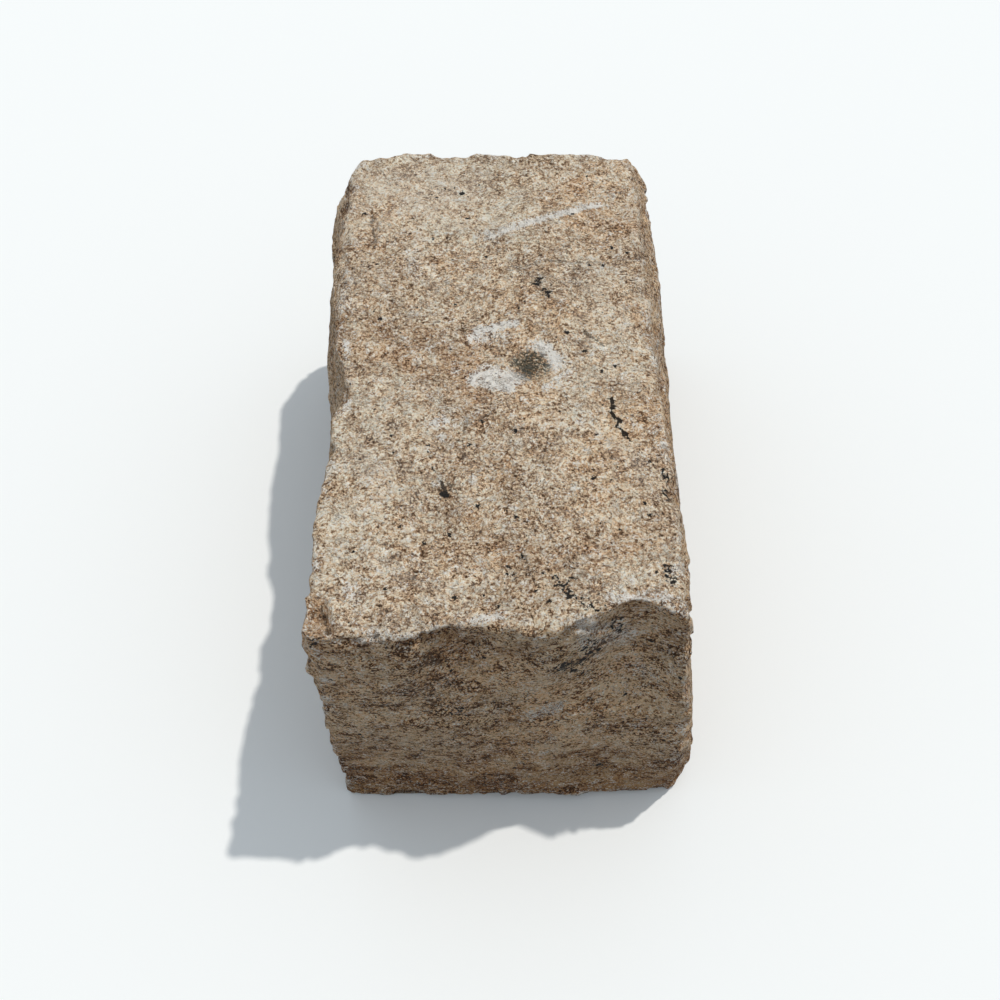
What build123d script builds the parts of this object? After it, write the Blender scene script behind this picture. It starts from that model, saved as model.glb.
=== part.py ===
from build123d import *
from dataclasses import dataclass
import math
import os

# A split granite belgian block, the kind laid on edge as a street sett or kerb.
# It is one piece of stone. Five of its faces were split from the ledge, so each of
# them swells, leans and waves, and the sixth, the bed that it rests on, was dressed
# flat. Hammer and wear took the arrises back in narrow facets and shell-shaped
# spalls. X runs across the stone, Y along it from the near end to the far end and
# Z up. Millimetres throughout.

# Size of the stone between the planes that its faces were split to
LENGTH = 251.5
WIDTH = 131.0
HEIGHT = 124.5

# How far the foot of a side stands out beyond its head, and how far each side is
# drawn in at the near end
LEFT_LEAN = -1.0
RIGHT_LEAN = 11.0
NEAR_TAPER = 1.6

# Waves that the split left in every broken face: a long and a short family
LONG_WAVE = 88.0
LONG_WAVE_HEIGHT = 0.7
SHORT_WAVE = 49.0
SHORT_WAVE_HEIGHT = 0.3
WAVES_IN_FAMILY = 3

# Swells of the broken faces, and hollows in them: how far each stands out or sinks
LEFT_BELLY = 9.0
LEFT_SHOULDER = 7.2
LEFT_KNOB = 2.6
LEFT_BROW = 3.0
LEFT_HEEL = 3.4
RIGHT_BELLY = 3.0
RIGHT_BROW = 2.6
RIGHT_WAIST = 4.2
RIGHT_SHOULDER = 2.2
NEAR_CROWN = 2.2
NEAR_BROW = 3.4
NEAR_HOLLOW = 15.0
NEAR_DIP = 6.5
FAR_CROWN = 3.0
FAR_DIP = 1.6
FAR_BROW = 2.0
TOP_RISE = 0.8
TOP_DIP = 1.2
TOP_VALLEY = 1.1

# Crater of an old hammer blow in the top
CRATER_RADIUS = 17.0
CRATER_DEPTH = 2.6
CRATER_X = 12.0
CRATER_Y = -3.0

# How deep each arris was knocked back, square to its facet. The right one's facet
# runs out towards the near end, and has its depth at a place along the arris.
TOP_RIGHT_KNOCK = 5.7
TOP_RIGHT_KNOCK_Y = 40.0
TOP_LEFT_KNOCK = 0.6
TOP_NEAR_KNOCK = 0.8
TOP_FAR_KNOCK = 0.3
FOOT_KNOCK = 2.2
NEAR_LEFT_KNOCK = 0.4
NEAR_RIGHT_KNOCK = 1.6
FAR_LEFT_KNOCK = 5.6
FAR_LEFT_SECOND_KNOCK = 4.6
FAR_RIGHT_KNOCK = 3.0
FAR_RIGHT_CORNER_KNOCK = 7.0

# Shell-shaped spalls: the radius of the shell, its depth at the arris and its place
LEFT_NOTCH_RADIUS = 40.0
LEFT_NOTCH_DEPTH = 6.4
LEFT_NOTCH_Y = -14.0
FAR_NOTCH_RADIUS = 13.0
FAR_NOTCH_DEPTH = 3.4
FAR_NOTCH_X = 8.7
TOE_SPALL_RADIUS = 30.0
TOE_SPALL_DEPTH = 8.5
TOE_SPALL_Z = 8.0
HEEL_SPALL_RADIUS = 34.0
HEEL_SPALL_DEPTH = 4.5
FOOT_SPALL_RADIUS = 30.0
FOOT_SPALL_DEPTH = 5.0
LEFT_FOOT_SPALL_Y = 62.0
RIGHT_FOOT_SPALL_Y = -20.0
FAR_FOOT_SPALL_X = 24.0

# Construction sizes, which leave no mark on the stone
GRID_STEP = 15.0
BLANK_MARGIN = 22.0
OVERCUT = 34.0
WASTE = 70.0


@dataclass
class Form:
    """One swell (rise above nought) or hollow (below) of a broken face.

    Its middle is given from the middle of the face, and its spreads are the
    distances at which it has fallen to about a third."""

    across: float
    along: float
    spread_across: float
    spread_along: float
    rise: float

    def height(self, across, along):
        run_across = (across - self.across) / self.spread_across
        run_along = (along - self.along) / self.spread_along
        return self.rise * math.exp(-(run_across**2) - run_along**2)


@dataclass
class SplitFace:
    """A face that was split: a plane, its spans and what stands out from it."""

    number: int
    plane: Plane
    span_across: float
    span_along: float
    forms: list

    def waves(self, across, along):
        height = 0.0
        families = ((LONG_WAVE, LONG_WAVE_HEIGHT), (SHORT_WAVE, SHORT_WAVE_HEIGHT))
        for wave, wave_height in families:
            for member in range(WAVES_IN_FAMILY):
                heading = math.radians(137.5 * member + 41.0 * self.number)
                run = across * math.cos(heading) + along * math.sin(heading)
                phase = 2.4 * member + 1.7 * self.number
                height += wave_height * math.sin(2 * math.pi * run / wave + phase)
        return height

    def point(self, across, along):
        """The place on the broken face over a place on its plane."""
        height = self.waves(across, along)
        height += sum(form.height(across, along) for form in self.forms)
        return self.plane.from_local_coords(Vector(across, along, height))

    def waste(self):
        """The stone that comes away outside the face."""
        grid = [
            [self.point(across, along) for along in stations(self.span_along)]
            for across in stations(self.span_across)
        ]
        broken = Face.make_surface_from_array_of_points(grid)
        return Solid.extrude(broken, self.plane.z_dir * WASTE)


def stations(span):
    """Places from end to end of a span and its overcut, about a grid step apart."""
    full = span + 2 * OVERCUT
    count = math.ceil(full / GRID_STEP)
    return [full * (number / count - 0.5) for number in range(count + 1)]


def side_plane(side, lean):
    """The plane of the left (-1) or right (1) side, leaning out towards its foot."""
    middle = (side * (WIDTH + lean) / 2, 0, HEIGHT / 2)
    outwards = (side, -NEAR_TAPER / LENGTH, lean / HEIGHT)
    return Plane(origin=middle, x_dir=(0, side, 0), z_dir=outwards)


def end_plane(end):
    """The plane of the near (-1) or far (1) end."""
    return Plane(origin=(0, end * LENGTH / 2, HEIGHT / 2), x_dir=(-end, 0, 0), z_dir=(0, end, 0))


def top_face():
    forms = [
        Form(CRATER_X, CRATER_Y, CRATER_RADIUS, CRATER_RADIUS, -CRATER_DEPTH),
        Form(across=-42.0, along=26.0, spread_across=26.0, spread_along=30.0, rise=-TOP_DIP),
        Form(across=-26.0, along=-94.0, spread_across=46.0, spread_along=30.0, rise=TOP_RISE),
        Form(across=-42.0, along=20.0, spread_across=30.0, spread_along=12.0, rise=-TOP_VALLEY),
    ]
    return SplitFace(0, Plane(origin=(0, 0, HEIGHT)), WIDTH, LENGTH, forms)


def left_face():
    """Across runs from the far end to the near end, along runs up."""
    belly = Form(across=-62.0, along=10.0, spread_across=92.0, spread_along=36.0, rise=LEFT_BELLY)
    shoulder = Form(across=-103.0, along=42.0, spread_across=23.0, spread_along=20.0, rise=LEFT_SHOULDER)
    brow = Form(across=48.0, along=HEIGHT / 2, spread_across=30.0, spread_along=26.0, rise=-LEFT_BROW)
    knob = Form(across=LENGTH / 2, along=44.0, spread_across=16.0, spread_along=15.0, rise=LEFT_KNOB)
    heel = Form(across=LENGTH / 2, along=-22.0, spread_across=60.0, spread_along=50.0, rise=-LEFT_HEEL)
    forms = [belly, shoulder, brow, knob, heel]
    return SplitFace(1, side_plane(-1, LEFT_LEAN), LENGTH, HEIGHT, forms)


def right_face():
    """Across runs from the near end to the far end, along runs up."""
    belly = Form(across=-4.0, along=10.0, spread_across=78.0, spread_along=32.0, rise=RIGHT_BELLY)
    brow = Form(across=-86.0, along=HEIGHT / 2, spread_across=40.0, spread_along=38.0, rise=-RIGHT_BROW)
    waist = Form(across=6.0, along=HEIGHT / 2, spread_across=32.0, spread_along=30.0, rise=-RIGHT_WAIST)
    shoulder = Form(
        across=98.0, along=HEIGHT / 2, spread_across=34.0, spread_along=30.0, rise=-RIGHT_SHOULDER
    )
    forms = [belly, brow, waist, shoulder]
    return SplitFace(2, side_plane(1, RIGHT_LEAN), LENGTH, HEIGHT, forms)


def near_face():
    """Across runs to the right, along runs up."""
    crown = Form(across=-6.0, along=-4.0, spread_across=56.0, spread_along=44.0, rise=NEAR_CROWN)
    brow = Form(across=-42.0, along=44.0, spread_across=24.0, spread_along=22.0, rise=NEAR_BROW)
    hollow = Form(across=46.0, along=HEIGHT / 2, spread_across=20.0, spread_along=58.0, rise=-NEAR_HOLLOW)
    dip = Form(across=-8.0, along=HEIGHT / 2, spread_across=15.0, spread_along=30.0, rise=-NEAR_DIP)
    return SplitFace(3, end_plane(-1), WIDTH, HEIGHT, [crown, brow, hollow, dip])


def far_face():
    """Across runs to the left, along runs up."""
    crown = Form(across=10.0, along=4.0, spread_across=54.0, spread_along=40.0, rise=FAR_CROWN)
    dip = Form(across=-34.0, along=-30.0, spread_across=24.0, spread_along=22.0, rise=-FAR_DIP)
    brow = Form(across=37.0, along=HEIGHT / 2, spread_across=20.0, spread_along=24.0, rise=FAR_BROW)
    return SplitFace(4, end_plane(1), WIDTH, HEIGHT, [crown, dip, brow])


def knock(arris, outwards, depth):
    """The corner of stone outside a flat facet that lies a depth in from an arris."""
    outwards = Vector(outwards).normalized()
    facet = Plane(origin=Vector(arris) - outwards * depth, z_dir=outwards)
    reach = LENGTH + WIDTH + HEIGHT
    return facet * Pos(0, 0, WASTE / 2) * Box(reach, reach, WASTE)


def spall(arris, outwards, radius, depth):
    """The ball whose shell-shaped bite goes a depth in from an arris."""
    outwards = Vector(outwards).normalized()
    return Pos(*(Vector(arris) + outwards * (radius - depth))) * Sphere(radius)


def knocked_arrises():
    left = -WIDTH / 2
    right = WIDTH / 2
    left_foot = left - LEFT_LEAN
    right_foot = right + RIGHT_LEAN
    near = -LENGTH / 2
    far = LENGTH / 2
    return [
        knock((right, TOP_RIGHT_KNOCK_Y, HEIGHT), (1, 0.02, 0.7), TOP_RIGHT_KNOCK),
        knock((left, 0, HEIGHT), (-1, 0.01, 1), TOP_LEFT_KNOCK),
        knock((0, near, HEIGHT), (0.02, -1, 1), TOP_NEAR_KNOCK),
        knock((0, far, HEIGHT), (0, 1, 0.8), TOP_FAR_KNOCK),
        knock((left_foot, 0, 0), (-1, 0.01, -1), FOOT_KNOCK),
        knock((right_foot, 0, 0), (1, 0.02, -0.9), FOOT_KNOCK),
        knock((0, near, 0), (0.03, -1, -0.8), FOOT_KNOCK),
        knock((0, far, 0), (-0.02, 1, -1), FOOT_KNOCK),
        knock((left, near, HEIGHT / 2), (-1, -1, 0.04), NEAR_LEFT_KNOCK),
        knock((right + RIGHT_LEAN / 2, near, HEIGHT / 2), (1, -1, -0.04), NEAR_RIGHT_KNOCK),
        knock((left, far, HEIGHT), (-0.91, 0.42, 0.3), FAR_LEFT_KNOCK),
        knock((left, far, HEIGHT), (-0.2, 0.98, 0.1), FAR_LEFT_SECOND_KNOCK),
        knock((right, far, HEIGHT), (1, 0.8, 0.1), FAR_RIGHT_KNOCK),
        knock((right, far, HEIGHT), (0.64, 0.77, 0.66), FAR_RIGHT_CORNER_KNOCK),
    ]


def spalls():
    left = -WIDTH / 2
    right = WIDTH / 2
    left_foot = left - LEFT_LEAN
    right_foot = right + RIGHT_LEAN
    near = -LENGTH / 2
    far = LENGTH / 2
    return [
        spall((left, LEFT_NOTCH_Y, HEIGHT), (-1, 0, 0.15), LEFT_NOTCH_RADIUS, LEFT_NOTCH_DEPTH),
        spall((FAR_NOTCH_X, far, HEIGHT), (0, 1, 0.2), FAR_NOTCH_RADIUS, FAR_NOTCH_DEPTH),
        spall((right_foot, near, TOE_SPALL_Z), (1, -0.6, -0.1), TOE_SPALL_RADIUS, TOE_SPALL_DEPTH),
        spall((left_foot, near, 0), (-1, -0.5, -0.8), HEEL_SPALL_RADIUS, HEEL_SPALL_DEPTH),
        spall((left_foot, LEFT_FOOT_SPALL_Y, 0), (-1, 0, -0.8), FOOT_SPALL_RADIUS, FOOT_SPALL_DEPTH),
        spall((right_foot, RIGHT_FOOT_SPALL_Y, 0), (1, 0, -0.7), FOOT_SPALL_RADIUS, FOOT_SPALL_DEPTH),
        spall((FAR_FOOT_SPALL_X, far, 0), (0, 1, -0.8), FOOT_SPALL_RADIUS, FOOT_SPALL_DEPTH),
    ]


def granite_block():
    blank_height = HEIGHT + BLANK_MARGIN
    blank = Box(WIDTH + 2 * BLANK_MARGIN, LENGTH + 2 * BLANK_MARGIN, blank_height)
    blank = Pos(0, 0, blank_height / 2) * blank
    faces = [top_face(), left_face(), right_face(), near_face(), far_face()]
    wastes = [face.waste() for face in faces]
    stone = blank
    for tool in wastes + knocked_arrises() + spalls():
        stone = stone.cut(tool)
    box = stone.bounding_box()
    return Pos(-box.center().X, -box.center().Y, 0) * stone


def main():
    os.makedirs("parts", exist_ok=True)
    stone = granite_block()
    export_step(stone, "parts/granite_block.step")
    print("volume in litres:", round(stone.volume / 1e6, 3))


main()
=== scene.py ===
import bmesh
import bpy
import itertools
import math
import numpy as np
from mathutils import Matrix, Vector, kdtree, noise


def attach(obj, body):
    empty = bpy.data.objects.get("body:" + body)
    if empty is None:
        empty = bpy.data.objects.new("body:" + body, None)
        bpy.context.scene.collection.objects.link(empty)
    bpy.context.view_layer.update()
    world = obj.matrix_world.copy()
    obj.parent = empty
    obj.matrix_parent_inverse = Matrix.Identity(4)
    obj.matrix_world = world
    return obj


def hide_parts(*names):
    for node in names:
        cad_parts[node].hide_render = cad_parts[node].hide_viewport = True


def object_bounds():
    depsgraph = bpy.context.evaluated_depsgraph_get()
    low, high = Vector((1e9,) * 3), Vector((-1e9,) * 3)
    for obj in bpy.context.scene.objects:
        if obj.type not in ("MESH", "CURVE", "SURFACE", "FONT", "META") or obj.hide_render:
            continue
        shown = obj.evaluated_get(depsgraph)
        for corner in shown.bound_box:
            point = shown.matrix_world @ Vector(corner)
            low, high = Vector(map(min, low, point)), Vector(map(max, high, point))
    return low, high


# A split granite belgian block on a pale floor. The stone is the CAD solid, cut up
# fine and given its broken relief, with its marks kept as values on its points.
# Lengths are in millimetres here and are turned to metres where an object is made.

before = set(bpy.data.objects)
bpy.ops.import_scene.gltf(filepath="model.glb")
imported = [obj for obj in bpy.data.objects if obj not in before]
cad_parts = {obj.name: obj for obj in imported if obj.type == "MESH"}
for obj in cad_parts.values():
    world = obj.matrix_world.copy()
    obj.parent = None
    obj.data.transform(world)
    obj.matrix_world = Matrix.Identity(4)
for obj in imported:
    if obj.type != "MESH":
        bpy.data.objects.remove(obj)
cad_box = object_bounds()

MM = 0.001

# Size of the cells that the stone's skin is divided into
VOXEL = 1.36

# An edge of the solid is an arris where its faces turn by more than this
ARRIS_TURN = math.radians(22.0)
ARRIS_STEP = 1.5

# Rounds of averaging: for the directions that the relief is raised along, and for the
# broader ones that tell the faces apart
RISE_ROUNDS = 5
BROAD_ROUNDS = 24

# How squarely stone has to look up, down or to the near end to begin to count as the
# top, the bed or the near face, and to count wholly
TOP_TURN = (0.55, 0.85)
BED_TURN = (0.6, 0.9)
NEAR_TURN = (0.55, 0.85)

# Camera of the photograph: place, tilt from straight down, and lens
CAMERA_PLACE = (-1.2, -337.9, 475.0)
CAMERA_TILT = 37.433
LENS = 45.0
SENSOR = 36.0

# Light: the direction towards the lamp, its strength and the fill from all round
SUN_FROM = (0.32, 0.19, 0.93)
SUN_STRENGTH = 1.65
SUN_COLOUR = (1.05, 1.0, 0.94)
SUN_ANGLE = 1.5
FILL = 0.58
FILL_COLOUR = (0.90, 0.98, 1.06, 1.0)

# Floor and backdrop: half the floor's width in metres, both as they are seen, and
# the floor as it throws light back
FLOOR_HALF = 2.5
FLOOR_SEEN = (0.905, 0.92, 0.91, 1.0)
FLOOR_BOUNCE = (0.26, 0.25, 0.24, 1.0)
BACKDROP_SEEN = (0.95, 0.98, 0.985, 1.0)

# Level of the top, from which the side faces' streaks are measured, and how many
# times longer than high a streak is
TOP_LEVEL = 124.5
STREAK_FLATNESS = 3.2

# How far a streak wanders up and down, over what length, and its climb to the right
STREAK_WANDER = 5.0
STREAK_WANDER_LENGTH = 27.0
STREAK_CLIMB = 0.12

# Broken relief of the faces: how long its waves and facets are, and how high. A
# facet's size is given across, along and up. The side faces are rougher than the top.
SWELL_LENGTH = 38.0
SWELL_HEIGHT = 0.45
CHIP_SIZE = (17.0, 17.0, 12.5)
CHIP_HEIGHT = 0.25
CHIP_MORE_ON_SIDE = 0.25
SMALL_CHIP_SIZE = (6.5, 6.5, 4.8)
SMALL_CHIP_HEIGHT = 0.13
SMALL_CHIP_MORE_ON_SIDE = 0.12
PIT_LENGTH = 4.2
PIT_HEIGHT = 0.22
STREAK_LENGTH = 15.0
STREAK_HEIGHT = 0.5
STREAK_LESS_ON_NEAR = 0.12

# How steeply a facet may lean
FACET_TILT = 1.6

# Rougher and smoother regions of the faces: their size, the least roughness, what
# the roughest have over it, and the noise that gives the one and the other
REGION_LENGTH = 34.0
REGION_LEAST = 0.35
REGION_MORE = 1.3
REGION_NOISE = (-0.3, 0.35)

# How far, and over what length, the borders of the facets are bent
BEND_REACH = 5.0
BEND_LENGTH = 24.0

# Bed: depth of its pits, and where a pit is too slight to lift it off the floor
BED_PIT_DEPTH = 0.35
BED_FLAT_BELOW = 0.05
BED_SLIGHT_PIT = 0.12

# Arrises: how far in each kind of wear reaches, how much it takes, how long its
# waves are, and the noise at which chipping begins and is at its deepest
RUB_REACH = 2.4
RUB_DEPTH = 0.4
RUB_LENGTH = 6.0
CHIPPING_REACH = 4.0
CHIPPING_DEPTH = 1.5
CHIPPING_LENGTH = 12.0
CHIPPING_NOISE = (0.15, 0.5)
TEAR_REACH = 5.0
TEAR_HEIGHT = 0.9
TEAR_LENGTH = 6.5

# Band of the near face under its top arris that is broken more deeply
BROW_LEVEL = 117.0
BROW_REACH = 12.0
BROW_START = 100.0
BROW_END = 114.0
BROW_CHIP_HEIGHT = 0.85
BROW_SMALL_CHIP_HEIGHT = 0.5

# Ledge across the far part of the top, the rear side the higher. It dies out
# behind over one length, and past its ends over another.
LEDGE = ((-8.5, 70.1), (0.8, 74.3), (9.3, 77.7), (24.4, 84.7), (42.0, 93.2), (52.0, 99.5))
LEDGE_HEIGHT = 1.3
LEDGE_HALF_STEP = 0.8
LEDGE_FADE = 16.0
LEDGE_END_START = 2.0
LEDGE_END_FADE = 14.0

# Grooves in the top: their points, half width and depth
GROOVES = (
    (((-60.7, -112.5), (-58.9, -118.0), (-57.2, -124.0)), 1.6, 2.8),
    (((-56.2, 86.2), (-54.8, 77.1), (-53.6, 65.7)), 1.2, 1.0),
    (((-50.6, 20.0), (-48.8, 18.7), (-45.3, 12.8)), 1.0, 0.9),
)

# Bites out of the near arris and of the knob at its left end: across, reach to
# either side, how far down and how deep
NEAR_BITES = (
    (-22.0, 5.5, 9.0, 2.6),
    (-13.0, 2.4, 5.0, -2.2),
    (8.0, 5.0, 6.0, -1.0),
)
KNOB_PLACE = (-63.8, -119.4)
KNOB_REACH = 6.0
KNOB_DROP = 1.8

# White crushed stone on the top: start, end, half width, strength
TOP_BRUISES = (
    (-11.9, 13.4, -9.2, 16.7, 2.6, 0.95),
    (-9.2, 16.7, 4.6, 18.9, 2.0, 1.05),
    (-9.5, 13.0, 0.0, 12.0, 3.2, 0.45),
    (-10.0, -10.0, 1.5, -14.5, 3.8, 1.2),
    (-6.0, -6.5, 4.5, -10.0, 4.4, 1.0),
    (12.4, 7.3, 16.2, 5.7, 2.4, 0.9),
    (16.2, 5.7, 20.7, -1.8, 2.6, 1.05),
    (16.9, -16.4, 25.5, -7.1, 2.0, 0.6),
    (-18.9, -5.0, -18.3, -5.0, 1.6, 0.6),
    (-22.1, -32.0, -21.5, -33.0, 2.0, 0.7),
    (-25.3, -33.5, -24.7, -34.0, 2.2, 0.85),
    (-22.8, -41.0, -22.4, -41.4, 1.8, 0.8),
    (28.6, -33.0, 29.1, -33.0, 1.8, 0.7),
    (24.6, -65.4, 25.1, -65.0, 2.2, 0.45),
    (-8.0, 69.5, 9.3, 76.7, 1.8, 0.9),
    (9.3, 76.7, 42.0, 92.2, 1.3, 1.0),
    (-38.0, 60.0, -36.0, 48.0, 3.0, 0.4),
    (-61.8, 11.0, -60.6, 1.0, 1.4, 0.7),
    (-58.6, -20.0, -58.8, -27.0, 1.4, 0.7),
    (-49.9, -128.8, -31.0, -125.6, 1.6, 0.5),
    (-9.6, -118.8, 0.5, -117.8, 1.6, 0.6),
    (36.0, -111.9, 54.0, -110.6, 2.4, 0.7),
    (-52.0, -106.0, -50.0, -110.0, 3.0, 0.4),
)

# White patches of the near face: across, up, across, up, half width, strength
NEAR_BRUISES = (
    (27.0, 127.0, 29.0, 112.0, 4.0, 0.55),
    (36.0, 109.0, 42.0, 106.0, 5.0, 0.5),
    (10.0, 71.0, 18.0, 74.0, 3.6, 0.45),
    (-61.0, 100.4, -58.6, 100.0, 1.3, 0.8),
    (44.0, 88.0, 54.0, 84.0, 2.0, 0.35),
)

# Brown stain (above nought) and pale stone (below) of the top, laid on softly
TOP_STAINS = (
    (-52.0, 12.0, -15.0, -2.0, 13.0, 0.75),
    (-16.0, -4.0, -12.0, -32.0, 6.0, 0.5),
    (-12.0, -80.0, 12.0, -104.0, 11.0, 0.5),
    (32.0, 104.0, 50.0, 76.0, 12.0, 0.4),
    (-57.0, 66.0, -50.0, 34.0, 9.0, 0.5),
    (28.0, -98.0, 52.0, -78.0, 10.0, 0.4),
    (17.0, 61.0, 24.0, 52.0, 6.0, 0.35),
    (-46.0, 102.0, -18.0, 96.0, 20.0, -0.7),
    (-50.0, -46.0, -38.0, -66.0, 12.0, -0.3),
    (36.0, 20.0, 48.0, 44.0, 12.0, -0.35),
    (40.0, -32.0, 52.0, -64.0, 10.0, -0.3),
)

# Greyer, darker stone of the top, partly painted shade of its relief, laid on softly
TOP_SHADES = (
    (-27.0, -12.0, -20.0, -32.0, 5.0, 0.45),
    (-22.0, -58.0, -18.0, -78.0, 5.0, 0.6),
    (-14.0, -30.0, 2.0, -60.0, 6.0, 0.3),
    (2.0, -62.0, 6.0, -100.0, 6.0, 0.45),
    (18.0, -88.0, 26.0, -104.0, 6.0, 0.45),
    (-33.0, 14.0, -18.0, 6.0, 6.0, 0.5),
    (12.0, 48.0, 20.0, 28.0, 5.0, 0.45),
    (44.0, 60.0, 50.0, 52.0, 5.0, 0.5),
    (-64.0, 20.0, -62.0, -4.0, 4.0, 0.5),
    (-4.0, -110.0, 20.0, -112.0, 7.0, 0.4),
    (46.0, -70.0, 56.0, -84.0, 6.0, 0.35),
    (-10.0, 72.0, 4.0, 66.0, 6.0, 0.3),
)

# Single black crystals of the top: place and radius
TOP_SPECKS = (
    (-25.1, 101.6, 0.65), (-21.2, 102.5, 0.58), (-17.8, 99.2, 1.1), (-28.4, 96.0, 0.58),
    (-15.0, 82.5, 0.79), (-10.3, 104.5, 0.58), (3.8, 108.8, 0.5), (-39.2, 71.6, 0.65),
    (-29.5, 69.2, 0.65), (-51.7, 52.3, 0.58), (-59.1, 85.5, 0.94), (29.9, 84.9, 0.79),
    (-7.2, 58.2, 0.72), (-49.0, 22.5, 0.86), (45.4, 63.6, 0.94), (51.5, 59.5, 0.86),
    (35.4, 52.3, 0.65), (41.4, 51.6, 0.72), (24.9, 13.0, 0.9), (32.0, 4.2, 0.79),
    (38.0, -6.6, 0.79), (43.2, -3.4, 0.79), (-20.9, -66.5, 1.7), (-7.8, -33.7, 0.79),
    (4.5, -38.6, 0.72), (-12.3, -44.5, 0.79), (-41.2, -41.0, 0.58), (-35.4, -46.8, 0.58),
    (-39.6, -48.7, 0.58), (-9.1, -71.6, 0.86), (4.2, -76.9, 0.94), (-18.6, -83.7, 0.79),
    (-51.3, -92.2, 0.65), (-36.0, -81.5, 0.65), (-27.5, -87.7, 0.65), (6.4, -93.4, 0.72),
    (1.2, -100.7, 0.65), (-16.4, -110.2, 0.94), (-39.8, -107.7, 0.72), (-27.5, -44.9, 0.5),
    (32.3, -59.9, 0.86), (38.7, -60.8, 0.5), (53.2, -51.6, 0.72), (49.9, -71.0, 1),
    (51.2, -76.0, 0.72), (51.7, -100.0, 0.65), (40.3, -82.1, 0.65),
    (13.5, -100.8, 0.65), (22.9, -103.2, 0.79), (15.1, -113.1, 0.79), (10.6, -108.6, 0.65),
    (-1.9, -114.0, 0.58), (34.4, -39.3, 0.58), (31.0, -14.9, 0.5), (21.1, -28.5, 0.5),
    (-19.4, 31.0, 0.5), (-33.0, 29.0, 0.43), (8.4, 30.2, 0.58), (-3.0, 2.5, 0.5),
)

# Single black crystals of the near face: across, up and radius
NEAR_SPECKS = (
    (-6.6, 105.3, 0.79), (20.5, 105.0, 0.9), (26.9, 108.6, 0.86), (28.3, 113.4, 0.72),
    (24.0, 96.6, 1), (28.0, 92.0, 0.58), (51.1, 102.3, 0.65), (62.0, 88.5, 0.79),
    (59.7, 95.4, 0.58), (34.6, 116.6, 0.58), (-58.6, 101.0, 0.79), (-17.9, 92.4, 0.58),
    (-14.4, 93.4, 0.58), (-18.0, 100.0, 0.65), (-28.6, 114.7, 0.58), (-38.4, 120.5, 0.58),
    (-64.5, 93.4, 0.5), (-45.3, 76.9, 0.5), (-30.4, 46.3, 0.72), (8.4, 35.2, 0.86),
    (37.4, 27.8, 1.5), (4.3, 31.9, 0.58), (-62.8, 123.0, 0.72), (44.0, 74.0, 0.72),
    (52.0, 63.0, 0.79), (-8.0, 60.0, 0.5), (20.0, 66.0, 0.5), (-52.0, 62.0, 0.58),
)

# Clusters of dark mineral: start, end, half width, strength
TOP_CLUSTERS = (
    (15.2, 44.1, 13.4, 40.0, 2.6, 0.9),
    (17.6, 36.0, 18.4, 33.0, 2.4, 0.95),
    (57.9, -55.3, 58.6, -60.5, 1.6, 1.0),
    (57.4, -65.4, 59.4, -69.5, 2.2, 1.0),
    (17.6, -103.5, 18.6, -106.0, 2.6, 0.8),
    (20.6, -106.5, 21.8, -110.5, 2.4, 0.95),
    (24.0, -112.0, 33.0, -117.5, 2.6, 0.8),
    (23.0, -97.0, 24.5, -103.0, 1.8, 0.75),
    (55.2, -97.5, 57.0, -103.5, 2.6, 0.95),
    (2.0, -98.0, 3.6, -102.0, 2.4, 0.7),
    (3.0, -77.0, -1.0, -75.0, 2.4, 0.55),
    (5.0, -90.0, 7.5, -96.0, 2.0, 0.55),
    (-33.0, 98.0, -38.0, 101.0, 3.0, 0.4),
    (-6.0, 79.0, -2.0, 80.0, 2.0, 0.45),
    (-10.5, 66.0, -8.0, 60.0, 2.2, 0.5),
    (30.5, -61.0, 27.0, -66.0, 2.0, 0.5),
    (-15.5, -64.5, -19.0, -62.0, 1.6, 0.6),
    (-57.0, -30.0, -55.0, -44.0, 2.0, 0.4),
)
NEAR_CLUSTERS = (
    (-18.0, 80.0, -16.0, 76.0, 4.2, 0.7),
    (19.0, 103.0, 26.0, 101.0, 4.2, 0.95),
    (29.0, 110.0, 31.0, 103.0, 3.6, 0.85),
    (38.0, 116.0, 40.0, 110.0, 3.0, 0.85),
    (22.0, 98.0, 26.0, 94.0, 2.6, 0.75),
    (-64.0, 119.0, -62.0, 124.0, 2.4, 0.8),
    (36.0, 29.0, 39.0, 26.0, 2.8, 0.65),
    (6.0, 36.0, 10.0, 33.0, 2.4, 0.6),
    (50.0, 121.0, 56.0, 120.0, 3.4, 0.5),
)

# Cracks of the top: their points, half width and darkness
CRACKS = (
    (((-27.3, -51.6), (-25.4, -55.3), (-21.8, -61.3), (-20.9, -65.0)), 0.32, 0.9),
    (((-20.9, -62.5), (-18.4, -63.0), (-16.0, -66.5)), 0.3, 0.6),
    (((-13.2, -32.5), (-15.2, -42.2), (-22.0, -46.0), (-27.4, -51.0)), 0.2, 0.45),
    (
        ((40.6, -20.5), (41.8, -24.0), (40.4, -28.0), (43.2, -32.0), (42.6, -35.5), (46.2, -41.5)),
        0.6,
        1.0,
    ),
    (((31.6, 14.0), (39.1, 7.3)), 0.3, 0.6),
    (((3.0, 49.0), (9.0, 51.0), (16.0, 54.5), (24.0, 54.0), (36.0, 53.7)), 0.28, 0.55),
    (((-45.4, 12.9), (-38.0, 8.0)), 0.3, 0.5),
    (((7.2, -93.0), (10.0, -104.0), (12.0, -108.0)), 0.35, 0.6),
    (((-60.7, -112.5), (-58.9, -118.0), (-57.2, -124.0)), 0.5, 0.6),
    (((-56.2, 86.2), (-54.8, 77.1), (-53.6, 65.7)), 0.45, 0.55),
)
CRACK_REACH = 3.4
CRACK_END = 0.6

# Crater of the hammer blow: its sooty middle
SOOT_PLACE = (10.4, -3.2)
SOOT_RADIUS = 12.0

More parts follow.
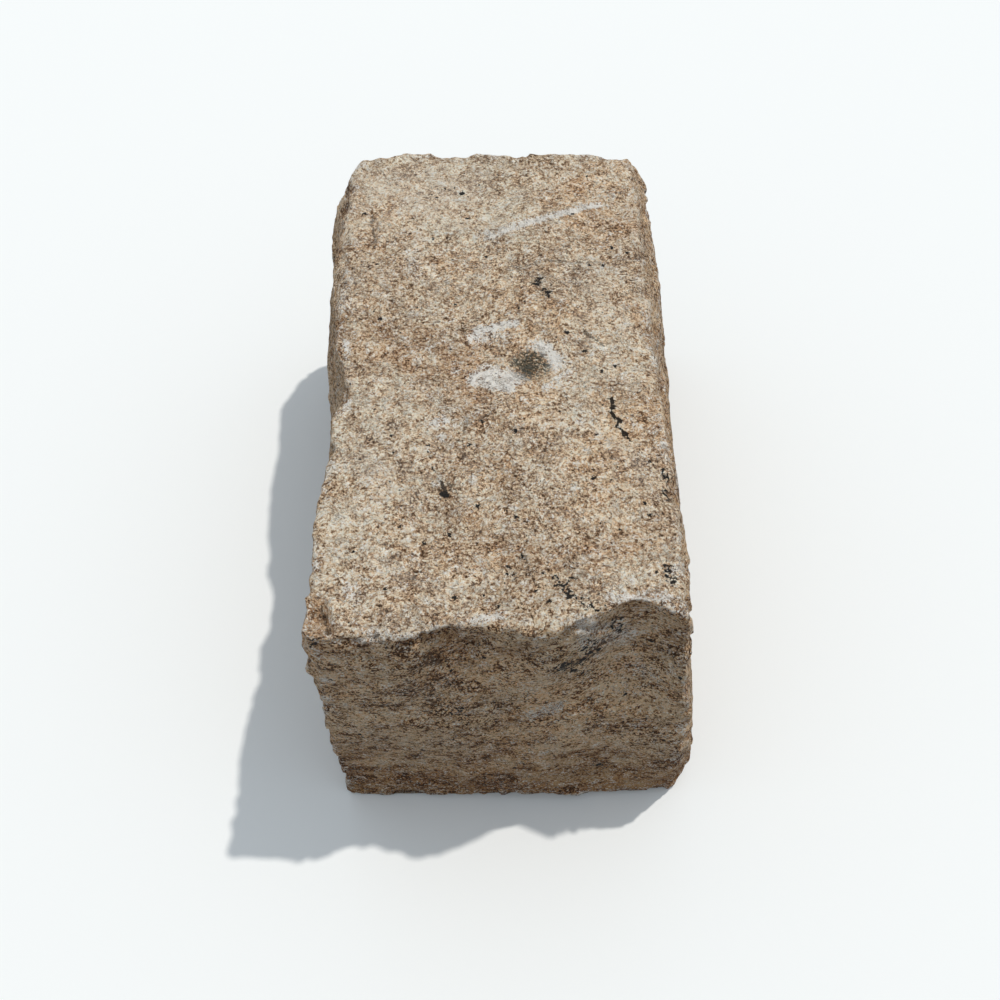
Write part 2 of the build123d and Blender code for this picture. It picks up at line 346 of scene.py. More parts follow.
# A single crystal is kept at the points that lie nearer to its edge than its reach,
# and are nearer to it than to any other by at least so much. A mark's width has the
# value for nowhere at the points that it is kept away from.
SPECK_REACH = 2.3
SPECK_APART = 2.0
NOWHERE = -1.0

# Where a stroke begins to fade and where it ends, in half widths from its middle
STROKE_FADE_START = 0.3
STROKE_FADE_END = 1.7

# How deep a hollow a millimetre of relief makes, for the dirt and painted shade in it
HOLLOW_PER_MM = 0.8


def smoothstep(values, low, high):
    """From nought at the low value to one at the high one."""
    part = np.clip((values - low) / (high - low), 0.0, 1.0)
    return part * part * (3.0 - 2.0 * part)


def segment_distance(points, start, end):
    """Distance of each point of a plane from a segment."""
    start = np.array(start)
    run = np.array(end) - start
    length = float(np.hypot(*run))
    along = (points - start) @ (run / length)
    nearest = start + np.clip(along, 0.0, length)[:, None] * (run / length)
    return np.hypot(*(points - nearest).T)


def polyline_distance(points, corners):
    """Signed distance from a polyline's lines, and the true distance from it."""
    best = np.full(len(points), 1e9)
    signed = np.zeros(len(points))
    for start, end in zip(corners, corners[1:]):
        away = segment_distance(points, start, end)
        run = np.array(end) - np.array(start)
        run = run / np.hypot(*run)
        offset = points - np.array(start)
        side = run[0] * offset[:, 1] - run[1] * offset[:, 0]
        nearer = away < best
        best = np.where(nearer, away, best)
        signed = np.where(nearer, side, signed)
    return signed, best


def field(points, size, octaves=3, shift=0.0):
    """Fractal noise of about -1 to 1, with waves of the given size or sizes."""
    scaled = points / np.array(size) + shift
    return np.array([noise.fractal(spot, 1.0, 2.0, octaves) for spot in scaled.tolist()])


def scattered(corners, turn):
    """A repeatable number from 0 to 1 for each whole-numbered corner of a grid."""
    wave = np.sin(corners @ np.array([127.1, 311.7, 74.7]) + turn) * 43758.5453
    return wave - np.floor(wave)


def scattered_triple(corners, turns):
    return np.stack([scattered(corners, turn) for turn in turns], 1)


def facets(points, size, shift=0.0):
    """Broken facets: each cell of stone has a lift and a tilt of its own. About -1 to 1."""
    scaled_points = points / np.array(size) + shift
    home = np.floor(scaled_points)
    nearest = np.full(len(points), np.inf)
    heights = np.zeros(len(points))
    for move in itertools.product((-1.0, 0.0, 1.0), repeat=3):
        corner = home + np.array(move)
        offset = scaled_points - corner - scattered_triple(corner, (0.0, 1.3, 2.9))
        tilt = scattered_triple(corner, (4.1, 5.7, 7.3)) - 0.5
        height = FACET_TILT * (tilt * offset).sum(1) + scattered(corner, 8.9) - 0.5
        gap = (offset**2).sum(1)
        heights = np.where(gap < nearest, height, heights)
        nearest = np.minimum(nearest, gap)
    return heights


def skin_and_arrises(source):
    """The solid's skin in even cells, and places along its arrises."""
    graph = bmesh.new()
    graph.from_mesh(source.data)
    bmesh.ops.remove_doubles(graph, verts=graph.verts, dist=1e-6)
    places = []
    for edge in graph.edges:
        if len(edge.link_faces) != 2 or edge.calc_face_angle(0.0) < ARRIS_TURN:
            continue
        start, end = (vertex.co / MM for vertex in edge.verts)
        count = max(1, math.ceil((end - start).length / ARRIS_STEP))
        places += [start.lerp(end, number / count) for number in range(count + 1)]
    welded = bpy.data.meshes.new("welded")
    graph.to_mesh(welded)
    graph.free()
    helper = bpy.data.objects.new("helper", welded)
    bpy.context.scene.collection.objects.link(helper)
    remesh = helper.modifiers.new("cells", "REMESH")
    remesh.mode = "VOXEL"
    remesh.voxel_size = VOXEL * MM
    ready = helper.evaluated_get(bpy.context.evaluated_depsgraph_get())
    skin = bpy.data.meshes.new_from_object(ready)
    bpy.data.objects.remove(helper)
    return skin, places


def vertex_values(mesh, name, width):
    values = np.empty(len(mesh.vertices) * width)
    mesh.vertices.foreach_get(name, values)
    return values.reshape(-1, width)


def evened(values, edges, rounds):
    """Values averaged with those of their neighbours, a number of times."""
    count = len(values)
    share = 1.0 + np.bincount(edges.ravel(), minlength=count)
    for _ in range(rounds):
        total = values.copy()
        for column in range(values.shape[1]):
            total[:, column] += np.bincount(edges[:, 0], values[edges[:, 1], column], count)
            total[:, column] += np.bincount(edges[:, 1], values[edges[:, 0], column], count)
        values = total / share[:, None]
    return values


def strokes(points, marks):
    """How strongly each point of a plane is marked by soft-edged strokes."""
    mark = np.zeros(len(points))
    for x0, y0, x1, y1, half_width, strength in marks:
        away = segment_distance(points, (x0, y0), (x1, y1))
        start = STROKE_FADE_START * half_width
        end = STROKE_FADE_END * half_width
        mark = np.maximum(mark, strength * (1.0 - smoothstep(away, start, end)))
    return mark


def soft_strokes(points, marks):
    """Strokes that add up and fade over their whole width."""
    mark = np.zeros(len(points))
    for x0, y0, x1, y1, half_width, strength in marks:
        away = segment_distance(points, (x0, y0), (x1, y1))
        mark += strength * np.exp(-((away / half_width) ** 2))
    return mark


def speck_values(points, specks, where):
    """Offset of each point from the nearest speck, and the speck's radius."""
    specks = np.array(specks)
    offsets = points[:, None, :] - specks[None, :, :2]
    gaps = np.hypot(offsets[..., 0], offsets[..., 1])
    order = np.argpartition(gaps, 1, axis=1)
    rows = np.arange(len(points))
    first, second = order[:, 0], order[:, 1]
    radius = specks[first, 2]
    near = (gaps[rows, first] < radius + SPECK_REACH) & where
    near &= gaps[rows, second] - gaps[rows, first] > SPECK_APART
    values = np.zeros((len(points), 3))
    values[:, :2] = offsets[rows, first]
    values[:, 2] = np.where(near, radius, NOWHERE)
    return values


def crack_values(points, where):
    """Signed distance from the nearest crack, its half width and its darkness."""
    values = np.zeros((len(points), 3))
    values[:, 1] = NOWHERE
    nearest = np.full(len(points), CRACK_REACH)
    for corners, half_width, darkness in CRACKS:
        signed, away = polyline_distance(points, corners)
        here = where & (away < nearest)
        beyond = away - np.abs(signed) > CRACK_END
        values[here, 0] = signed[here]
        values[here, 1] = np.where(beyond, NOWHERE, half_width)[here]
        values[here, 2] = darkness
        nearest = np.where(here, away, nearest)
    return values


def add_value(mesh, name, values):
    attribute = mesh.attributes.new(name, "FLOAT", "POINT")
    attribute.data.foreach_set("value", np.asarray(values, dtype=np.float32))


def add_vector(mesh, name, values):
    attribute = mesh.attributes.new(name, "FLOAT_VECTOR", "POINT")
    attribute.data.foreach_set("vector", np.asarray(values, dtype=np.float32).ravel())


def streaked(place):
    """Places in which the side faces' level streaks are as high as they are long."""
    wander = STREAK_WANDER * field(place, STREAK_WANDER_LENGTH, 2, shift=5.0)
    climb = STREAK_CLIMB * place[:, 0]
    lain = place.copy()
    lain[:, 2] = (place[:, 2] + wander - climb - TOP_LEVEL) * STREAK_FLATNESS
    return lain


def fading(distance, reach):
    """One at no distance, falling away smoothly past a reach."""
    return np.exp(-((distance / reach) ** 2))


def shaped_stone():
    """The stone's mesh, with its broken relief and the values of its marks."""
    mesh, arris_places = skin_and_arrises(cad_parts["granite_block"])
    place = vertex_values(mesh, "co", 3) / MM
    edges = np.empty(len(mesh.edges) * 2, dtype=np.int64)
    mesh.edges.foreach_get("vertices", edges)
    edges = edges.reshape(-1, 2)
    outward = evened(vertex_values(mesh, "normal", 3), edges, RISE_ROUNDS)
    outward /= np.linalg.norm(outward, axis=1)[:, None]
    broad = evened(outward, edges, BROAD_ROUNDS)
    broad /= np.linalg.norm(broad, axis=1)[:, None]

    tree = kdtree.KDTree(len(arris_places))
    for number, spot in enumerate(arris_places):
        tree.insert(spot, number)
    tree.balance()
    from_arris = np.array([tree.find(spot)[2] for spot in place.tolist()])

    on_top = smoothstep(broad[:, 2], *TOP_TURN)
    on_bed = smoothstep(-broad[:, 2], *BED_TURN)
    on_near = smoothstep(-broad[:, 1], *NEAR_TURN)
    on_side = np.clip(1.0 - on_top - on_bed, 0.0, 1.0)
    plan = place[:, :2]
    front = place[:, [0, 2]]

    # Relief of the broken faces, coarse to fine
    swell = SWELL_HEIGHT * field(place, SWELL_LENGTH, 2)
    region = field(place, REGION_LENGTH, 2, shift=12.3)
    roughness = REGION_LEAST + REGION_MORE * smoothstep(region, *REGION_NOISE)
    bends = [field(place, BEND_LENGTH, 2, shift=start) for start in (21.0, 27.0, 33.0)]
    bent = place + BEND_REACH * np.stack(bends, 1)
    chips = roughness * facets(bent, CHIP_SIZE)
    small_chips = roughness * facets(bent, SMALL_CHIP_SIZE, 7.7)
    pits = field(place, PIT_LENGTH, 3, shift=3.3)
    streaks = field(streaked(place), STREAK_LENGTH, 3, shift=1.7)
    relief = swell + (CHIP_HEIGHT + CHIP_MORE_ON_SIDE * on_side) * chips
    relief += (SMALL_CHIP_HEIGHT + SMALL_CHIP_MORE_ON_SIDE * on_side) * small_chips
    relief += PIT_HEIGHT * pits
    relief += (STREAK_HEIGHT * on_side - STREAK_LESS_ON_NEAR * on_near) * streaks

    # Arrises: rubbed a little all along, and chipped here and there
    off_bed = 1.0 - on_bed
    rub = np.clip(field(place, RUB_LENGTH, 3, shift=2.2) + 0.2, 0.0, 1.0)
    chip = smoothstep(field(place, CHIPPING_LENGTH, 2, shift=6.4), *CHIPPING_NOISE)
    relief -= RUB_DEPTH * rub * fading(from_arris, RUB_REACH) * off_bed
    relief -= CHIPPING_DEPTH * chip * fading(from_arris, CHIPPING_REACH) * off_bed

    # Brow of the near face, torn arrises, the bites and the knob at the left end
    brow = fading(place[:, 2] - BROW_LEVEL, BROW_REACH) * smoothstep(-place[:, 1], BROW_START, BROW_END)
    relief += brow * (BROW_CHIP_HEIGHT * chips + BROW_SMALL_CHIP_HEIGHT * small_chips)
    tear = field(place, TEAR_LENGTH, 3, shift=9.1) * fading(from_arris, TEAR_REACH)
    relief += TEAR_HEIGHT * tear * off_bed
    for across, reach, down, depth in NEAR_BITES:
        sideways = (front[:, 0] - across) / reach
        below = (front[:, 1] - TOP_LEVEL) / down
        relief -= depth * np.exp(-(sideways**4) - below**2) * on_near
    knob = fading(np.hypot(*(plan - np.array(KNOB_PLACE)).T), KNOB_REACH)
    relief -= KNOB_DROP * knob * on_top

    # Ledge and grooves of the top
    signed, away = polyline_distance(plan, LEDGE)
    behind = smoothstep(signed, -LEDGE_HALF_STEP, LEDGE_HALF_STEP)
    behind *= np.exp(-np.clip(signed, 0.0, None) / LEDGE_FADE)
    reach = 1.0 - smoothstep(away - np.abs(signed), LEDGE_END_START, LEDGE_END_FADE)
    relief += on_top * LEDGE_HEIGHT * behind * reach
    for corners, half_width, depth in GROOVES:
        _, away = polyline_distance(plan, corners)
        relief -= (on_top > 0.2) * depth * fading(away, half_width)

    # The bed is only pitted, so the stone still rests on it
    relief = np.where(on_bed > 0.3, -np.abs(BED_PIT_DEPTH * pits) * on_bed, relief)
    moved = place + outward * relief[:, None]
    moved[:, 2] = np.maximum(moved[:, 2], 0.0)
    low = place[:, 2] < BED_FLAT_BELOW
    moved[low & (on_bed > 0.9) & (np.abs(pits) < BED_SLIGHT_PIT), 2] = 0.0
    mesh.vertices.foreach_set("co", (moved * MM).ravel())

    # Marks
    soot = 1.0 - smoothstep(np.hypot(*(plan - np.array(SOOT_PLACE)).T), 0.0, SOOT_RADIUS)
    is_top = on_top > 0.1
    specks = speck_values(plan, TOP_SPECKS, is_top)
    near_specks = speck_values(front, NEAR_SPECKS, on_near > 0.3)
    specks = np.where(is_top[:, None], specks, near_specks)
    add_vector(mesh, "speck", specks)
    add_vector(mesh, "crack", crack_values(plan, is_top))
    add_value(mesh, "arris", fading(from_arris, RUB_REACH))
    add_value(mesh, "hollow", np.clip(-(relief - swell) * HOLLOW_PER_MM, -1.0, 1.0))
    add_value(mesh, "side", on_side)
    add_value(mesh, "soot", on_top * soot)
    add_value(mesh, "stain", on_top * soft_strokes(plan, TOP_STAINS))
    add_value(mesh, "shade", on_top * soft_strokes(plan, TOP_SHADES))
    top_bruises = is_top * strokes(plan, TOP_BRUISES)
    near_bruises = on_near * strokes(front, NEAR_BRUISES)
    add_value(mesh, "bruise", np.maximum(top_bruises, near_bruises))
    top_clusters = is_top * strokes(plan, TOP_CLUSTERS)
    near_clusters = on_near * strokes(front, NEAR_CLUSTERS)
    add_value(mesh, "cluster", np.maximum(top_clusters, near_clusters))
    mesh.shade_smooth()
    lay_out(mesh, moved, broad)
    return mesh


# Sheet that the skin is laid out on: its width, the gap between two views of the
# stone, the gap past the solid's box, and the scale of the view of the bed
SHEET = 420.0
SHEET_MARGIN = 3.0
SHEET_PAST_BOX = 2.0
SHEET_BED_SCALE = 0.42

# How much more readily a face is laid out in the view of the top than in another
TOP_PULL = 1.25


def lay_out(mesh, place, broad):
    """Six views of the stone side by side on one sheet, for a surface map."""
    loops = np.empty(len(mesh.loops), dtype=np.int64)
    mesh.loops.foreach_get("vertex_index", loops)
    starts = np.empty(len(mesh.polygons), dtype=np.int64)
    mesh.polygons.foreach_get("loop_start", starts)
    totals = np.empty(len(mesh.polygons), dtype=np.int64)
    mesh.polygons.foreach_get("loop_total", totals)
    owner = np.repeat(np.arange(len(starts)), totals)
    heading = np.zeros((len(starts), 3))
    for axis in range(3):
        heading[:, axis] = np.bincount(owner, broad[loops, axis], len(starts))
    pulls = np.stack(
        [
            TOP_PULL * heading[:, 2],
            -heading[:, 0],
            heading[:, 0],
            -heading[:, 1],
            heading[:, 1],
            -heading[:, 2],
        ],
        1,
    )
    view = np.argmax(pulls, 1)[owner]
    spot = place[loops]
    half_x = cad_box[1][0] / MM + SHEET_PAST_BOX
    half_y = cad_box[1][1] / MM + SHEET_PAST_BOX
    high = cad_box[1][2] / MM + SHEET_PAST_BOX
    wide = 2 * half_x + SHEET_MARGIN
    tall = 2 * half_y + SHEET_MARGIN
    deep = high + SHEET_MARGIN
    sheet = np.zeros((len(loops), 2))
    x = spot[:, 0] + half_x
    y = spot[:, 1] + half_y
    z = spot[:, 2]
    layouts = (
        (x, y, 0.0, 0.0),
        (z, y, wide, 0.0),
        (z, y, wide + deep, 0.0),
        (x, z, 0.0, tall),
        (x, z, wide, tall),
        (y * SHEET_BED_SCALE, x * SHEET_BED_SCALE, 2 * wide, tall),
    )
    for number, (across, up, left, bottom) in enumerate(layouts):
        chosen = view == number
        sheet[chosen, 0] = (across + left + SHEET_MARGIN)[chosen] / SHEET
        sheet[chosen, 1] = (up + bottom + SHEET_MARGIN)[chosen] / SHEET
    layer = mesh.uv_layers.new(name="OFBake")
    layer.data.foreach_set("uv", sheet.ravel())


def feed(tree, socket, source):
    if isinstance(source, bpy.types.NodeSocket):
        tree.links.new(source, socket)
    else:
        socket.default_value = source


def node(tree, kind, inputs=None, **settings):
    made = tree.nodes.new(kind)
    for name, value in settings.items():
        setattr(made, name, value)
    for name, source in (inputs or {}).items():
        feed(tree, made.inputs[name], source)
    return made


def maths(tree, operation, first, second=0.0, third=0.0):
    inputs = {0: first, 1: second, 2: third}
    return node(tree, "ShaderNodeMath", inputs, operation=operation).outputs[0]


def times(tree, first, second):
    return maths(tree, "MULTIPLY", first, second)


def higher(tree, first, second):
    return maths(tree, "MAXIMUM", first, second)


def away_from(tree, value, level):
    """How far a value is from a level, either way."""
    return maths(tree, "ABSOLUTE", maths(tree, "SUBTRACT", value, level))


def blend(tree, factor, first, second, kind="MIX"):
    inputs = {0: factor, 6: first, 7: second}
    made = node(tree, "ShaderNodeMix", inputs, data_type="RGBA", blend_type=kind)
    return made.outputs[2]


def tinted(tree, factor, colour, tint):
    return blend(tree, factor, colour, tint, "MULTIPLY")


def step(tree, value, low, high, bottom=0.0, top=1.0):
    inputs = {0: value, 1: low, 2: high, 3: bottom, 4: top}
    return node(tree, "ShaderNodeMapRange", inputs, interpolation_type="SMOOTHSTEP").outputs[0]


def colours(tree, factor, stops):
    ramp = node(tree, "ShaderNodeValToRGB", {0: factor})
    elements = ramp.color_ramp.elements
    while len(elements) < len(stops):
        elements.new(0.5)
    for element, (position, colour) in zip(elements, stops):
        element.position = position
        element.color = (*colour, 1.0)
    return ramp.outputs[0]


def cells(tree, vector, size):
    inputs = {"Vector": vector, "Scale": 1.0 / size}
    return node(tree, "ShaderNodeTexVoronoi", inputs)


def noise_node(tree, vector, size, detail, roughness):
    inputs = {"Vector": vector, "Scale": 1.0 / size, "Detail": detail, "Roughness": roughness}
    return node(tree, "ShaderNodeTexNoise", inputs)


def cloud(tree, vector, size, detail, roughness):
    return noise_node(tree, vector, size, detail, roughness).outputs[0]


def cloud_colour(tree, vector, size, detail, roughness=0.5):
    return noise_node(tree, vector, size, detail, roughness).outputs["Color"]


def channels(tree, colour):
    return node(tree, "ShaderNodeSeparateColor", {0: colour}).outputs


def added(tree, first, second):
    return node(tree, "ShaderNodeVectorMath", {0: first, 1: second}, operation="ADD").outputs[0]


def scaled(tree, vector, scale):
    inputs = {0: vector, "Scale": scale}
    return node(tree, "ShaderNodeVectorMath", inputs, operation="SCALE").outputs[0]


def shaken(tree, vector, size, reach, detail=1.0):
    """The places shifted by noise of a size, by up to about a reach."""
    shake = added(tree, cloud_colour(tree, vector, size, detail), (-0.5, -0.5, -0.5))
    return added(tree, vector, scaled(tree, shake, 2.0 * reach))


def mark(tree, name):
    return node(tree, "ShaderNodeAttribute", attribute_name=name).outputs["Fac"]


def vector_mark(tree, name):
    vector = node(tree, "ShaderNodeAttribute", attribute_name=name).outputs["Vector"]
    return node(tree, "ShaderNodeSeparateXYZ", {0: vector}).outputs


def off_middle(tree, value, weight, base=0.5):
    """A base plus the weighted distance of a value from its middle."""
    return maths(tree, "MULTIPLY_ADD", maths(tree, "SUBTRACT", value, 0.5), weight, base)


# Stone's tones from dark to pale, and the colours laid over them
STONE_TONES = (
    (0.02, (0.080, 0.044, 0.022)),
    (0.18, (0.246, 0.150, 0.086)),
    (0.34, (0.458, 0.298, 0.180)),
    (0.50, (0.655, 0.466, 0.302)),
    (0.66, (0.850, 0.655, 0.446)),
    (0.82, (0.985, 0.838, 0.618)),
    (0.98, (1.0, 0.940, 0.790)),
)
QUARTZ = (0.52, 0.46, 0.39, 1.0)
FELDSPAR = (1.08, 0.90, 0.74, 1.0)
WARM = (1.03, 0.95, 0.86, 1.0)
COOL = (0.955, 0.96, 0.955, 1.0)
RUST = (0.74, 0.58, 0.44, 1.0)
PALE = (0.72, 0.66, 0.58, 1.0)
SHADE = (0.50, 0.46, 0.43, 1.0)
# Side faces: browner stone, and darker as painted shade
SIDE_BROWN_AND_SHADE = (0.885, 0.73, 0.58, 1.0)
# Foot of the side faces: dirt, and painted contact shade near the floor
FOOT_DIRT_AND_SHADE = (0.63, 0.50, 0.37, 1.0)
# Hollows: dirt, and painted shade where the relief sinks
HOLLOW_DIRT_AND_SHADE = (0.50, 0.38, 0.28, 1.0)
CRUSHED = (1.0, 0.955, 0.88, 1.0)
FLECK = (1.0, 0.91, 0.76, 1.0)
PIT = (0.25, 0.18, 0.13, 1.0)
SOOT = (0.026, 0.030, 0.021, 1.0)
MICA = (0.012, 0.011, 0.011, 1.0)
CRACK = (0.028, 0.020, 0.014, 1.0)

# How much of each of those colours is laid on where it is at its strongest
QUARTZ_SHARE = 0.3
FELDSPAR_SHARE = 0.3
RUST_SHARE = 0.62
PALE_SHARE = 0.2
SHADE_SHARE = 0.62
HOLLOW_DIRT_AND_SHADE_SHARE = 0.6
CRUSHED_SHARE = 0.95
RUBBED_ARRIS_SHARE = 0.55
FLECK_SHARE = 0.7
THREAD_SHARE = 0.8
PIT_SHARE = 0.95
SOOT_SHARE = 0.92
MICA_SHARE = 0.985

# Sizes of the grain and of the marks, from fine to coarse
GRIT_SIZE = 0.55
CRYSTAL_SIZE = 1.0
RAGGED_SIZE = 1.1
FLECK_SIZE = 1.15
FINE_SIZE = 1.25
DOT_SIZE = 1.5
BLOB_SIZE = 1.7
PIT_SIZE = 1.9
CRACK_BEND_SIZE = 2.8
THREAD_SIZE = 3.0
WISP_SIZE = 3.4
FLAKE_SIZE = 3.4
CRACK_BREAK_SIZE = 3.6
MIDDLE_SIZE = 4.2
VEIN_SIZE = 8.0
PATCH_SIZE = 12.0
REGION_SIZE = 46.0

# Tone: its middle, and how far each scale of the grain moves it. On the sides the
# coarser scales and the whole spread are stronger.
TONE_MIDDLE = 0.59
CRYSTAL_TONE = 0.4
GRIT_TONE = 0.6
FINE_TONE = 1.7
MIDDLE_TONE = 1.25
MIDDLE_TONE_ON_SIDE = 0.35
PATCH_TONE = 1.0
PATCH_TONE_ON_SIDE = 0.45
REGION_TONE = 0.5
WISP_TONE = 0.18
WISP_TONE_ON_SIDE = 0.2
TONE_SPREAD = 1.05
TONE_SPREAD_ON_SIDE = 1.1

# Foot of the side faces: dirty and darkened as painted contact shade below, clean above
FOOT_LOW = 12.0
FOOT_HIGH = 62.0
FOOT_WANDER = 90.0

# Black mica. Of the flakes and dots, those past a chance are kept. A flake's size is
# its share of a cell, and its core is a share of the flake. A cluster lowers the bar
# that a blob has to pass. A single crystal's edge is ragged by a few millimetres.
FLAKE_CHANCE = (0.84, 0.88)
FLAKE_LEAST = 0.07
FLAKE_MORE = 0.12
FLAKE_CORE = 0.7
DOT_CHANCE = (0.87, 0.88)
DOT_EDGE = (0.22, 0.13)
BLOB_BAR = 0.77
CLUSTER_LOWERS = -0.34
BLOB_EDGE = 0.04
SPECK_RAGGED = 3.0
SPECK_EDGE = 0.1

# How strongly each scale of the grain breaks up the crushed stone and the soot
GRIT_BREAKS = 0.8
FINE_BREAKS = 2.8
MIDDLE_BREAKS = 2.2

# How far, in millimetres, a crack is bent, and its width ragged and broken off
CRACK_BEND = 3.4
CRACK_RAGGED = 2.6
CRACK_BREAK = 3.4

# Fine relief in the material: its whole height in millimetres, and the share of it
# that each kind of grain or mark has
BUMP_HEIGHT = 1.3
CRYSTAL_RISE = 0.12
FINE_RISE = 1.2
MIDDLE_RISE = 2.6
PIT_RISE = -0.25
CRACK_RISE = -0.6

# Roughness of the smoothest crystal, how much more the dullest has, what mica adds to
# it, and how much light the stone throws off as gloss
ROUGH_LEAST = 0.72
ROUGH_SPREAD = 0.2
MICA_SMOOTHER = -0.1
GLOSS = 0.2


def grain(tree, side):
    """The places in the stone in millimetres, and its grain at every scale."""
    metres = node(tree, "ShaderNodeTexCoord").outputs["Object"]
    mm = scaled(tree, metres, 1.0 / MM)

    # On the sides the grain lies in level streaks
    waved = shaken(tree, mm, size=13.0, reach=2.6, detail=2.0)
    parts = node(tree, "ShaderNodeSeparateXYZ", {0: waved}).outputs
    down = maths(tree, "SUBTRACT", parts[2], TOP_LEVEL)
    down = times(tree, down, maths(tree, "MULTIPLY_ADD", side, 0.7, 1.0))
    lain = node(tree, "ShaderNodeCombineXYZ", {0: parts[0], 1: parts[1], 2: down}).outputs[0]
    bent = shaken(tree, lain, size=2.0, reach=0.35)
    return {
        "mm": mm,
        "lain": lain,
        "bent": bent,
        "crystal": channels(tree, cells(tree, bent, CRYSTAL_SIZE).outputs["Color"]),
        "fine": cloud(tree, bent, FINE_SIZE, detail=4.0, roughness=0.8),
        "middle": cloud(tree, bent, MIDDLE_SIZE, detail=3.0, roughness=0.65),
        "patches": channels(tree, cloud_colour(tree, lain, PATCH_SIZE, detail=3.0, roughness=0.6)),
        "region": channels(tree, cloud_colour(tree, mm, REGION_SIZE, detail=2.0, roughness=0.55)),
        "grit": channels(tree, cells(tree, mm, GRIT_SIZE).outputs["Color"]),
        "ragged": channels(tree, cloud_colour(tree, mm, RAGGED_SIZE, detail=2.0, roughness=0.6)),
    }


def clean_stone(tree, side, grains):
    """Colour of the clean stone: its tone, its kinds of crystal, its warmth."""
    crystal = grains["crystal"]
    patches = grains["patches"]
    region = grains["region"]
    tone = off_middle(tree, crystal[0], CRYSTAL_TONE, TONE_MIDDLE)
    tone = off_middle(tree, grains["grit"][0], GRIT_TONE, tone)
    tone = off_middle(tree, grains["fine"], FINE_TONE, tone)
    weight = maths(tree, "MULTIPLY_ADD", side, MIDDLE_TONE_ON_SIDE, MIDDLE_TONE)
    tone = off_middle(tree, grains["middle"], weight, tone)
    weight = maths(tree, "MULTIPLY_ADD", side, PATCH_TONE_ON_SIDE, PATCH_TONE)
    tone = off_middle(tree, patches[0], weight, tone)
    tone = off_middle(tree, region[0], REGION_TONE, tone)

    # Pale wisps
    wisp = away_from(tree, cloud(tree, grains["lain"], WISP_SIZE, detail=3.0, roughness=0.65), 0.47)
    wisp = times(tree, step(tree, wisp, 0.03, 0.0), step(tree, patches[2], 0.42, 0.56))
    weight = maths(tree, "MULTIPLY_ADD", side, WISP_TONE_ON_SIDE, WISP_TONE)
    tone = maths(tree, "MULTIPLY_ADD", wisp, weight, tone)
    spread = maths(tree, "MULTIPLY_ADD", side, TONE_SPREAD_ON_SIDE, TONE_SPREAD)
    body = colours(tree, off_middle(tree, tone, spread), STONE_TONES)

    # Grey quartz and warm feldspar
    quartz = step(tree, off_middle(tree, patches[1], 1.3, crystal[1]), 0.72, 0.92)
    body = blend(tree, times(tree, quartz, QUARTZ_SHARE), body, QUARTZ)
    feldspar = step(tree, off_middle(tree, region[1], 1.6, crystal[2]), 0.45, 0.9)
    body = tinted(tree, times(tree, feldspar, FELDSPAR_SHARE), body, FELDSPAR)

    # Warmer and cooler stone, in broad patches
    warmth = off_middle(tree, patches[1], 1.2, off_middle(tree, region[2], 2.0, 0.0))
    body = tinted(tree, step(tree, warmth, 0.0, 0.45), body, WARM)
    return tinted(tree, step(tree, warmth, 0.0, -0.45), body, COOL)


def weathered_and_shaded(tree, side, grains, body):
    """The stone's colour with its stains, its browner sides with painted shade, and its dirt, with
    painted shade at the foot and in the hollows.
    """
    middle = grains["middle"]
    patches = grains["patches"]

    # Rust stains and pale stone, laid on softly and broken up by the grain
    stain = maths(tree, "ADD", mark(tree, "stain"), off_middle(tree, patches[2], 2.6, 0.0))
    stain = off_middle(tree, middle, 1.4, stain)
    body = tinted(tree, times(tree, step(tree, stain, 0.0, 0.9), RUST_SHARE), body, RUST)
    body = blend(tree, times(tree, step(tree, stain, -0.1, -0.9), PALE_SHARE), body, PALE)

    # Greyer, darker stone, partly painted shade of the top's relief
    shade = off_middle(tree, middle, 1.8, off_middle(tree, patches[0], 1.2, mark(tree, "shade")))
    body = tinted(tree, times(tree, step(tree, shade, 0.12, 0.8), SHADE_SHARE), body, SHADE)

    # The side faces are browner and darkened as painted shade, and their foot is dirty and darker still
    # as painted contact shade
    body = tinted(tree, side, body, SIDE_BROWN_AND_SHADE)
    height = node(tree, "ShaderNodeSeparateXYZ", {0: grains["mm"]}).outputs[2]
    height = off_middle(tree, patches[0], FOOT_WANDER, height)
    body = tinted(tree, times(tree, step(tree, height, FOOT_HIGH, FOOT_LOW), side), body, FOOT_DIRT_AND_SHADE)

    # Dirt and painted shade lie in the hollows, darker the deeper they sink
    hollow = off_middle(tree, middle, 2.6, mark(tree, "hollow"))
    return tinted(tree, times(tree, step(tree, hollow, 0.15, 1.0), HOLLOW_DIRT_AND_SHADE_SHARE), body, HOLLOW_DIRT_AND_SHADE)


def crushed_by_blows(tree, grains, broken, body):
    """The stone's colour with its rubbed arrises and its crushed white stone."""
    arris = times(tree, mark(tree, "arris"), step(tree, grains["patches"][1], 0.42, 0.66))
    crushed = higher(tree, times(tree, arris, RUBBED_ARRIS_SHARE), mark(tree, "bruise"))
    crushed = step(tree, maths(tree, "ADD", crushed, broken), 0.2, 0.8)
    return blend(tree, times(tree, crushed, CRUSHED_SHARE), body, CRUSHED)


def pale_flecks(tree, grains):
    """Where pale flecks lie."""
    fleck = cells(tree, grains["bent"], FLECK_SIZE)
    kind = channels(tree, fleck.outputs["Color"])[0]
    return times(tree, step(tree, kind, 0.76, 0.8), step(tree, fleck.outputs["Distance"], 0.5, 0.3))


